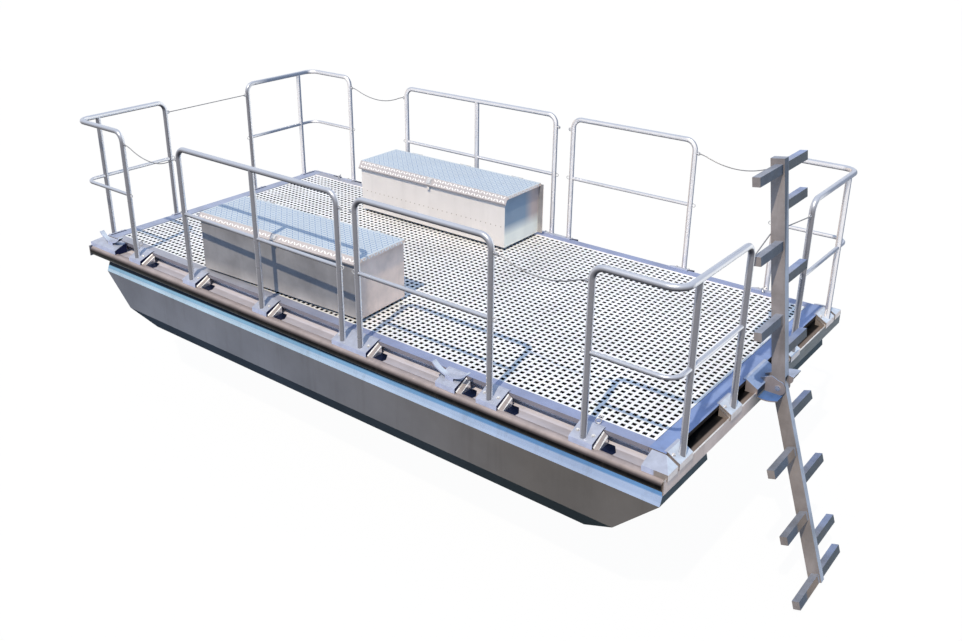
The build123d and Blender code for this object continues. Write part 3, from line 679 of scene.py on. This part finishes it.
@dataclass
class Studio:
    """Plain pale floor, white surround, one sun and the camera of the photograph."""

    eye: Point = (4.854, -5.708, 3.641)
    azimuth: float = 38.84
    elevation: float = 22.37
    lens: float = 36.49
    shift: tuple[float, float] = (0.0226, -0.062)
    floor_z: float = -0.96
    floor_half: float = 60.0
    shadow: float = 0.03
    sun_degrees: float = 1.0

    def build(self) -> None:
        """Makes the camera, the world, the sun and the floor."""
        data = bpy.data.cameras.new("camera")
        data.sensor_width, data.lens = 36.0, self.lens
        data.shift_x, data.shift_y = self.shift
        data.clip_end = 200.0
        camera = placed("camera", data)
        camera.location = self.eye
        camera.rotation_euler = (math.radians(90 - self.elevation), 0.0, math.radians(self.azimuth))
        bpy.context.scene.camera = camera
        bpy.context.scene.view_settings.view_transform = "Standard"
        self.surround()
        self.lamps()
        self.floor()

    @staticmethod
    def seen(tree: Tree) -> Feed:
        """Tells the rays that show the background from those that light the pontoon.

        Args:
            tree: the node tree.

        Returns:
            What is 1 for camera, glossy and transmission rays, and 0 for the rest.
        """
        path = add(tree, "LightPath")
        first = add(tree, "Math", {"operation": "MAXIMUM"},
                    {0: path.outputs["Is Camera Ray"], 1: path.outputs["Is Glossy Ray"]})
        both = add(tree, "Math", {"operation": "MAXIMUM"}, {0: first, 1: path.outputs["Is Transmission Ray"]})
        return both

    def surround(self) -> None:
        """White where it is seen, a cool soft sky where it lights."""
        world = bpy.data.worlds.new("surround")
        bpy.context.scene.world = world
        world.use_nodes = True
        tree = world.node_tree
        tree.nodes.clear()
        sky = add(tree, "Background", {"Color": (*DAY.sky, 1.0), "Strength": 1.0})
        white = add(tree, "Background", {"Color": (1, 1, 1, 1), "Strength": 1.0})
        mix = add(tree, "MixShader", links={0: self.seen(tree), 1: sky, 2: white})
        add(tree, "OutputWorld", links={"Surface": mix})

    def lamps(self) -> None:
        """One sun from the near side, as the shadows on the deck lie."""
        data = bpy.data.lights.new("sun", "SUN")
        data.energy, data.angle = max(DAY.sun), math.radians(self.sun_degrees)
        data.color = [c / max(DAY.sun) for c in DAY.sun]
        sun = placed("sun", data)
        sun.rotation_euler = Vector(DAY.sun_from).to_track_quat("Z", "Y").to_euler()

    def floor(self) -> None:
        """A floor under the whole hull and ladder, white with a faint shadow."""
        mesh = bpy.data.meshes.new("floor")
        r = self.floor_half
        mesh.from_pydata([(-r, -r, 0), (r, -r, 0), (r, r, 0), (-r, r, 0)], [], [(0, 1, 2, 3)])
        floor = placed("floor", mesh)
        floor.location = (0, 0, self.floor_z)
        made = blank("pale_floor")
        tree = made.node_tree
        dark = add(tree, "BsdfDiffuse", {"Color": linear("#31363c")})
        pale = add(tree, "BsdfDiffuse", {"Color": linear("#e6e6e8")})
        glow = add(tree, "Emission", {"Color": (1, 1, 1, 1), "Strength": 1.0})
        shown = add(tree, "MixShader", {0: 1 - self.shadow}, {1: pale, 2: glow})
        mix = add(tree, "MixShader", links={0: self.seen(tree), 1: dark, 2: shown})
        add(tree, "OutputMaterial", links={"Surface": mix})
        mesh.materials.append(made)


@dataclass
class SafetyWires:
    """The four wires that sag between railing sections. Each hangs from an eye to the next section's eye."""

    rail_y: float = 1.366
    eye_z: float = 1.465
    reach: float = 0.042
    radius: float = 0.004

    def routes(self) -> dict[str, tuple[int, float, float, tuple[tuple[float, float], ...]]]:
        """Side, x of the first post, length and route of each wire, in metres along and down."""
        return {
            "port_fore": (-1, -2.215, 0.699, (
                (0, 0), (.038, .005), (.108, .037), (.197, .065), (.291, .080), (.386, .082), (.477, .070),
                (.563, .043), (.637, .007), (.674, 0))),
            "port_aft": (-1, 1.603, 0.639, (
                (0, 0), (.036, .004), (.101, .031), (.182, .054), (.268, .066), (.356, .067), (.441, .056),
                (.519, .034), (.586, .005), (.620, 0))),
            "starboard_fore": (1, -2.294, 0.722, (
                (0, 0), (.039, .004), (.112, .032), (.204, .058), (.302, .072), (.402, .074), (.497, .062),
                (.588, .037), (.664, .005), (.702, 0))),
            "starboard_aft": (1, 1.584, 0.652, (
                (0, 0), (.037, .004), (.104, .030), (.188, .054), (.277, .067), (.367, .068), (.454, .056),
                (.532, .033), (.599, .005), (.633, 0))),
        }

    def build(self) -> None:
        for name, (side, post, length, route) in self.routes().items():
            curve = bpy.data.curves.new(f"safety_wire_{name}", "CURVE")
            curve.dimensions = "3D"
            line = curve.splines.new("NURBS")
            line.points.add(len(route) - 1)
            places = [(post + self.reach + along, side * self.rail_y, self.eye_z - down)
                      for along, down in route]
            for point, place in zip(line.points, places):
                point.co = (*place, 1.0)
            line.order_u, line.use_endpoint_u, line.resolution_u = 3, True, 8
            curve.bevel_depth, curve.bevel_resolution, curve.use_fill_caps = self.radius, 3, True
            curve.materials.append(WIRE_ROPE.material())
            wire = placed(f"safety_wire_{name}", curve)
            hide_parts(f"wire_{name}")
            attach(wire, "pontoon")
            LOG.info("safety_wire_%s on pontoon", name)


@dataclass
class MeshDeck:
    """The pressed mesh between the deck beams: square holes in one flush depth."""

    pitch: float = 0.050
    bar: float = 0.020
    columns: int = 108
    rows: int = 48
    top: float = 0.491
    depth: float = 0.034

    def lines(self, count: int) -> list[float]:
        """Gives the two edges of each of a number of bars, in order."""
        first = -self.pitch * (count - 1) / 2
        return [first + i * self.pitch + edge for i in range(count) for edge in (-self.bar / 2, self.bar / 2)]

    def build(self) -> None:
        """Makes the mesh in place of the two layers of bars."""
        xs, ys = self.lines(self.columns), self.lines(self.rows)
        wide, long = len(ys), len(xs)
        form = Form()
        form.points = [(x, y, z) for z in (self.top, self.top - self.depth) for x in xs for y in ys]
        below = wide * long

        def at(i: int, j: int) -> int:
            """Counts the top point where line i across meets line j along."""
            return i * wide + j

        for i in range(long - 1):
            for j in range(wide - 1):
                a, b, c, d = at(i, j), at(i + 1, j), at(i + 1, j + 1), at(i, j + 1)
                if i % 2 and j % 2:
                    for p, q in ((b, a), (c, b), (d, c), (a, d)):
                        form.faces.append((p, q, q + below, p + below))
                else:
                    form.faces.append((a, b, c, d))
                    form.faces.append((d + below, c + below, b + below, a + below))
        rim = [at(i, 0) for i in range(long)] + [at(long - 1, j) for j in range(1, wide)]
        rim += [at(i, wide - 1) for i in range(long - 2, -1, -1)] + [at(0, j) for j in range(wide - 2, 0, -1)]
        for p, q in zip(rim, rim[1:] + rim[:1]):
            form.faces.append((q, p, p + below, q + below))
        deck = form.piece("flush_mesh", MESH_GALVANISED, "grating", smooth=False)
        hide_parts("grating_lower_bars", "grating_upper_bars")


@dataclass
class TreadLid:
    """Raised lozenges on one box lid, on its flat top, its bevelled front and its end lips.

    The first six fields say which box, where its middle is, its turn in degrees, the height of the
    lid's top over the deck and how far its bevelled front drops.
    """

    name: str
    x: float
    y: float
    turn: float
    top: float
    drop: float
    box_depth: float = 0.515
    half_length: float = 0.870
    overhang: float = 0.020
    bevel: float = 0.038
    deck: float = 0.491
    pitch: float = 0.031
    long: float = 0.034
    wide: float = 0.011
    proud: float = 0.0014
    lip: float = 0.026
    rim: float = 0.012
    back_gap: float = 0.003
    first_row: float = 0.008
    latch_half: float = 0.045

    def lozenge(self) -> tuple[list[Vector], list[tuple[int, ...]]]:
        """Gives one lozenge: a low ridge that tapers to both ends.

        Returns:
            Its points and faces.
        """
        a, b, h = self.long / 2, self.wide / 2, self.proud
        rim = ((-a, 0), (-a * .4, -b), (a * .4, -b), (a, 0), (a * .4, b), (-a * .4, b))
        points = [Vector((*p, 0)) for p in rim] + [Vector((-a * .45, 0, h)), Vector((a * .45, 0, h))]
        return points, [(0, 1, 6), (1, 2, 7, 6), (2, 3, 7), (3, 4, 7), (4, 5, 6, 7), (5, 0, 6)]

    @staticmethod
    def crossed(count: int) -> float:
        """Gives a lozenge's turn, one way and the other in turn, in radians."""
        return math.radians(45 if count % 2 else -45)

    def build(self) -> None:
        """Lays the lozenges in crossing rows over the lid."""
        points, faces = self.lozenge()
        form = Form()
        box = Matrix.Translation((self.x, self.y, self.deck))
        box @= Matrix.Rotation(math.radians(self.turn), 4, "Z")
        front, back = -self.box_depth / 2 - self.overhang, self.box_depth / 2 - self.back_gap
        columns = int(2 * (self.half_length - self.rim) / self.pitch)
        rows = int((back - front - self.bevel - self.rim) / self.pitch)
        slope = Vector((0, self.bevel, self.drop))
        lean = Matrix.Rotation(math.atan2(self.drop, self.bevel), 4, "X")
        strips = int((slope.length - self.rim / 2) / self.pitch)
        middles = [(i - (columns - 1) / 2) * self.pitch for i in range(columns)]
        for i, x in enumerate(middles):
            for j in range(rows):
                y = front + self.bevel + self.first_row + (j + 0.5) * self.pitch
                lay = Matrix.Translation((x, y, self.top)) @ Matrix.Rotation(self.crossed(i + j), 4, "Z")
                form.put(points, faces, box @ lay)
        for i, x in enumerate(middles):
            if abs(x) < self.latch_half:
                continue
            for j in range(strips):
                at = Vector((x, front, self.top - self.drop)) + slope * ((j + 0.5) / strips)
                lay = Matrix.Translation(at) @ lean
                form.put(points, faces, box @ lay @ Matrix.Rotation(self.crossed(i + j), 4, "Z"))
        for end in (-1, 1):
            for j in range(int((back - front - self.bevel) / self.pitch)):
                y = front + self.bevel + (j + 0.5) * self.pitch
                at = (end * self.half_length, y, self.top - self.lip / 2)
                form.put(points, faces, box @ stand(at, (end, 0, 0), self.crossed(j)))
        form.piece(f"tread_lozenges_{self.name}", TREAD_LOZENGE, "lid", f"lid_{self.name}")


@dataclass
class Fixings:
    """Hexagon bolts through the folded brackets and the eyes welded to the railings."""

    deck: float = 0.494
    side_edge: float = 1.270
    end_edge: float = 2.803
    plate: float = 0.006
    drop: float = 0.043
    side_reach: float = 0.130
    end_reach: float = 0.084
    bolt: float = 0.0095
    ring_radius: float = 0.014
    ring_bar: float = 0.003
    side_bolt: float = 0.071
    bolt_halves: tuple[float, float] = (0.055, 0.143)
    end_bolt: float = 0.030
    end_bolt_half: float = 0.062
    rail_y: float = 1.366
    rail_x: float = 2.858
    inner_post: float = 0.489
    post_radius: float = 0.0212
    sunk: float = 0.002
    eye_levels: tuple[float, float] = (1.465, 1.027)

    def hexagon(self, form: Form, at: Vector, out: Vector) -> None:
        """Adds a washer and a hexagon head.

        Args:
            form: the piece to add to.
            at: the middle of its seat.
            out: the way that it stands.
        """
        place = stand(at, out)
        washer = self.bolt * 1.35
        form.turned([(washer, -0.001), (washer, 0.0015), (self.bolt * 1.3, 0.002)], 20, place)
        form.turned([(self.bolt, 0.002), (self.bolt, 0.0075), (self.bolt * 0.82, 0.0088)], 6, place)

    def row(self, name: str, outboard: Point, past: float, reach: float, places: list[float]) -> None:
        """Bolts the brackets down along one edge of the deck.

        Args:
            name: the edge's name.
            outboard: the way out over the edge, as long as the edge is far from the middle.
            past: how far over the edge the bolts stand.
            reach: how far the brackets' slope reaches.
            places: each bolt's place along the edge.
        """
        form = Form()
        slope = (self.plate + self.drop) / reach
        out = Vector(outboard).normalized()
        along = Vector((abs(out.y), abs(out.x), 0))
        for place in places:
            at = Vector(outboard) + out * past + along * place
            at.z = self.deck + self.plate - slope * past
            self.hexagon(form, at, out * slope + Vector(UP))
        form.piece(f"bracket_bolts_{name}", STAINLESS, "steel")

    def eyes(self) -> None:
        """Puts the ring eyes on the railings' ends, high and at the middle rail."""
        form = Form()
        out = self.post_radius + self.ring_radius - self.sunk
        places = [stand((x + way * out, side * self.rail_y, z), STARBOARD)
                  for side, (fore, _, close, aft) in SIDE_POSTS.items() for pair in (fore, close, aft)
                  for x, way in zip(pair, (1, -1)) for z in self.eye_levels]
        places += [stand((end * self.rail_x, side * (self.inner_post - out), z), STERN)
                   for end in ENDS for side in SIDES for z in self.eye_levels]
        for place in places:
            form.ring(self.ring_radius, self.ring_bar, place)
        form.piece("railing_eyes", STAINLESS, "steel")

    def build(self) -> None:
        """Makes all the bolts and eyes."""
        single, double = self.bolt_halves
        for side, (fore, lone, close, aft) in SIDE_POSTS.items():
            middles = [(x, single) for x in (*fore, lone)] + [(sum(close) / 2, double)]
            middles += [(x, single) for x in aft]
            places = [x + dx for x, half in middles for dx in (-half, half)]
            self.row(SIDES[side], (0, side * self.side_edge, 0), self.side_bolt, self.side_reach, places)
        for end, name in ENDS.items():
            places = [y + dy for y in END_POSTS for dy in (-self.end_bolt_half, self.end_bolt_half)]
            self.row(name, (end * self.end_edge, 0, 0), self.end_bolt, self.end_reach, places)
        self.eyes()


@dataclass
class BracketFlanks:
    """The folded flank on the stern side of each side bracket, with painted highlights along its dressed
    edges and a navy sheet at its foot that is painted shade and reflection.

    The end brackets have only two painted highlights each, along folds down their port side.
    """

    half: float = 0.0825
    wide: float = 0.034
    inner: float = 1.274
    outer: float = 1.388
    tall: float = 0.482
    low: float = 0.424
    foot: float = 0.407
    edge: float = 0.008
    # How far the painted shade sheet at the flank's foot reaches.
    flange: float = 0.086
    fall: float = 0.62
    proud: float = 0.0015
    sheet: float = 0.002
    end_slope: tuple[tuple[float, float], ...] = ((2.812, 0.4925), (2.880, 0.453))
    end_folds: tuple[tuple[float, float], ...] = ((0.018, 0.010), (0.0, 0.003))
    fold_proud: float = 0.0012
    cleat_plate: float = 1.262

    def wedge(self, form: Form, place: Matrix, x0: float, x1: float, lift: float) -> None:
        """Adds a wedge that falls outboard, in the place's frame with Y outboard.

        Args:
            form: the piece to add to.
            place: the bracket's place.
            x0: its first side.
            x1: its second side, where it is lower.
            lift: how far its top stands over the flank's.
        """
        points = []
        for x in (x0, x1):
            drop = (x - self.half) * self.fall
            points += [Vector((x, self.inner, self.foot)), Vector((x, self.outer, self.foot)),
                       Vector((x, self.outer, max(self.foot + self.sheet, self.low + lift - drop))),
                       Vector((x, self.inner, self.tall + lift - drop))]
        faces = [(0, 1, 2, 3), (7, 6, 5, 4), (3, 2, 6, 7), (1, 5, 6, 2), (0, 3, 7, 4), (0, 4, 5, 1)]
        form.put(points, faces, place)

    def foot_flange(self, form: Form, place: Matrix) -> None:
        """Adds the flat navy sheet at the flank's foot, cut back at its corners, as painted shade and
        reflection.

        Args:
            form: the piece to add to.
            place: the bracket's place.
        """
        end = self.half + self.wide
        rim = ((end, self.inner - 0.008), (end + self.flange * 0.55, self.inner - 0.008),
               (end + self.flange, self.inner + 0.05), (end + self.flange * 0.9, self.outer - 0.012),
               (end, self.outer))
        points = [Vector((*p, z)) for z in (self.foot, self.foot + self.sheet) for p in rim]
        faces = [(4, 3, 2, 1, 0), (5, 6, 7, 8, 9)]
        faces += [(i, (i + 1) % 5, (i + 1) % 5 + 5, i + 5) for i in range(5)]
        form.put(points, faces, place)

    def fold(self, form: Form, end: int, y: float, down: float, high: float) -> None:
        """Adds one painted highlight along a fold down an end bracket's port side.

        Args:
            form: the piece to add to.
            end: -1 for the bow, 1 for the stern.
            y: the bracket's middle.
            down: how far the fold lies under the plate's slope.
            high: its height.
        """
        side = y - self.half
        points = [Vector((end * x, across, z - low)) for across in (side - self.fold_proud, side)
                  for x, z in self.end_slope for low in (down, down + high)]
        form.put(points, [(0, 1, 3, 2), (4, 6, 7, 5), (0, 2, 6, 4), (1, 5, 7, 3), (0, 4, 5, 1), (2, 3, 7, 6)])

    def build(self) -> None:
        """Makes the flanks along both sides and the painted fold highlights on the end brackets."""
        start, end = self.half, self.half + self.wide
        for side, (fore, lone, close, aft) in SIDE_POSTS.items():
            sheet, edges, feet = Form(), Form(), Form()
            cleat = (self.cleat_plate,) if side < 0 else ()
            for x in (*fore, lone, close[1], *cleat, *aft):
                place = Matrix.Diagonal((1, side, 1, 1)) @ Matrix.Translation((x, 0, 0))
                self.wedge(sheet, place, start, end, 0.0)
                self.wedge(edges, place, start, start + self.edge, self.proud)
                self.wedge(edges, place, end - self.edge, end + 0.0005, self.proud)
                self.foot_flange(feet, place)
            sheet.piece(f"bracket_flanks_{SIDES[side]}", FLANK_SHEET, "bracket", smooth=False)
            edges.piece(f"bracket_flank_edges_{SIDES[side]}", SHEET_EDGE, "bracket", smooth=False)
            feet.piece(f"bracket_painted_shade_{SIDES[side]}", FOOT_FLANGE, "bracket", smooth=False)
        for end, name in ENDS.items():
            folds = Form()
            for y in END_POSTS:
                for down, high in self.end_folds:
                    self.fold(folds, end, y, down, high)
            folds.piece(f"bracket_fold_highlights_{name}", SHEET_EDGE, "bracket", smooth=False)


@dataclass
class BoxTrim:
    """Rivets along the starboard box's front and the upright flange on its back corner."""

    rivet: float = 0.0055
    pitch: float = 0.055
    first: float = -1.425
    count: int = 30
    front: float = 0.6825
    rivet_z: float = 0.702
    flange: tuple[Point, Point] = ((0.2105, 1.190, 0.516), (0.258, 1.1965, 0.972))

    def build(self) -> None:
        """Makes the rivets and the flange."""
        rivets = Form()
        for i in range(self.count):
            at = (self.first + i * self.pitch, self.front, self.rivet_z)
            rivets.turned([(self.rivet, -0.0005), (self.rivet, 0.0006), (self.rivet * 0.6, 0.0018)], 12,
                          stand(at, PORT))
        rivets.piece("starboard_box_rivets", BOX_RIVET, "box")
        flange = Form()
        flange.bar(*self.flange)
        flange.piece("starboard_box_flange", PORT_BOX_SHEET, "box", smooth=False)


@dataclass
class ApronEdge:
    """The top edge of the upright apron outside each gutter, dressed and painted bright as a highlight."""

    x: tuple[float, float] = (2.8725, 2.8815)
    half: float = 1.426
    z: tuple[float, float] = (0.4222, 0.4235)

    def build(self) -> None:
        """Makes the edge at both ends."""
        for end, name in ENDS.items():
            form = Form()
            form.bar((end * self.x[0], -self.half, self.z[0]), (end * self.x[1], self.half, self.z[1]))
            form.piece(f"apron_edge_highlight_{name}", SHEET_EDGE, "gutter", smooth=False)


@dataclass
class Clips:
    """The small spring clips that stand on the deck beside the corner sections' posts."""

    places: tuple[Point, ...] = ((2.330, -1.235, 0.494), (-2.350, -1.235, 0.494),
                                 (-2.378, 1.232, 0.494), (2.327, 1.240, 0.494))
    radius: float = 0.017
    bar: float = 0.0035
    lean: float = 80.0
    first_turn: float = 35.0
    next_turn: float = 40.0

    def build(self) -> None:
        """Makes the clips."""
        form = Form()
        upright = Matrix.Rotation(math.radians(self.lean), 4, "X")
        for i, (x, y, z) in enumerate(self.places):
            turn = Matrix.Rotation(math.radians(self.first_turn + self.next_turn * i), 4, "Z") @ upright
            large = Matrix.Translation((x, y, z + self.radius + self.bar))
            small = Matrix.Translation((x + 0.012, y + 0.01, z + self.radius * 2.5))
            form.ring(self.radius, self.bar, large @ turn)
            form.ring(self.radius * 0.55, self.bar, small @ turn, 16)
            form.turned([(0.009, 0.0), (0.009, 0.004), (0.006, 0.006)], 16, stand((x, y, z)))
        form.piece("spring_clips", STAINLESS, "steel")


@dataclass
class Dressing:
    """Which finish each CAD node wears."""

    finishes: tuple[tuple[str, Metal], ...] = (
        ("float_", FLOAT_PAINT),
        ("side_beam", FRAME_ALUMINIUM),
        ("deck_joists", FRAME_ALUMINIUM),
        ("end_beam_bow", BOW_ALUMINIUM),
        ("end_beam_stern", STERN_ALUMINIUM),
        ("rub_ledge", LEDGE_ALUMINIUM),
        ("rub_tube", RUB_TUBE_ALUMINIUM),
        ("railing", RAIL_ALUMINIUM),
        ("brackets", BRACKET_ALUMINIUM),
        ("corner_covers", BRACKET_ALUMINIUM),
        ("ladder_bracket", LADDER_BRACKET_ALUMINIUM),
        ("cleat", BRACKET_ALUMINIUM),
        ("storage_box_port", PORT_BOX_SHEET),
        ("storage_box_starboard", STARBOARD_BOX_SHEET),
        ("storage_lid", TREAD_PLATE),
        ("ladder_pin", STAINLESS),
        ("ladder_", LADDER_ALUMINIUM),
        ("hinge_pins", STAINLESS),
        ("latch", STAINLESS),
        ("wire_", WIRE_ROPE),
        ("grating", FRAME_ALUMINIUM),
    )

    def build(self, nodes: dict[str, bpy.types.Object]) -> None:
        """Dresses every node.

        Args:
            nodes: the CAD nodes by name.
        """
        for name, node in nodes.items():
            finish = next(f for start, f in self.finishes if name.startswith(start))
            if not node.material_slots:
                node.data.materials.append(None)
            for place in node.material_slots:
                place.link = "OBJECT"
                place.material = finish.material()
        LOG.info("dressed %d nodes", len(nodes))


def main() -> None:
    """Builds the scene in order."""
    logging.basicConfig(level=logging.INFO, format="%(message)s")
    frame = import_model()
    Studio().build()
    SafetyWires().build()
    Dressing().build(frame["nodes"])
    MeshDeck().build()
    TreadLid("port", x=-0.623, y=-0.918, turn=2.9, top=0.503, drop=0.044).build()
    TreadLid("starboard", x=-0.640, y=0.940, turn=0.0, top=0.493, drop=0.062).build()
    for trim in (Fixings(), BracketFlanks(), BoxTrim(), Clips(), ApronEdge()):
        trim.build()


if __name__ == "__main__":
    main()
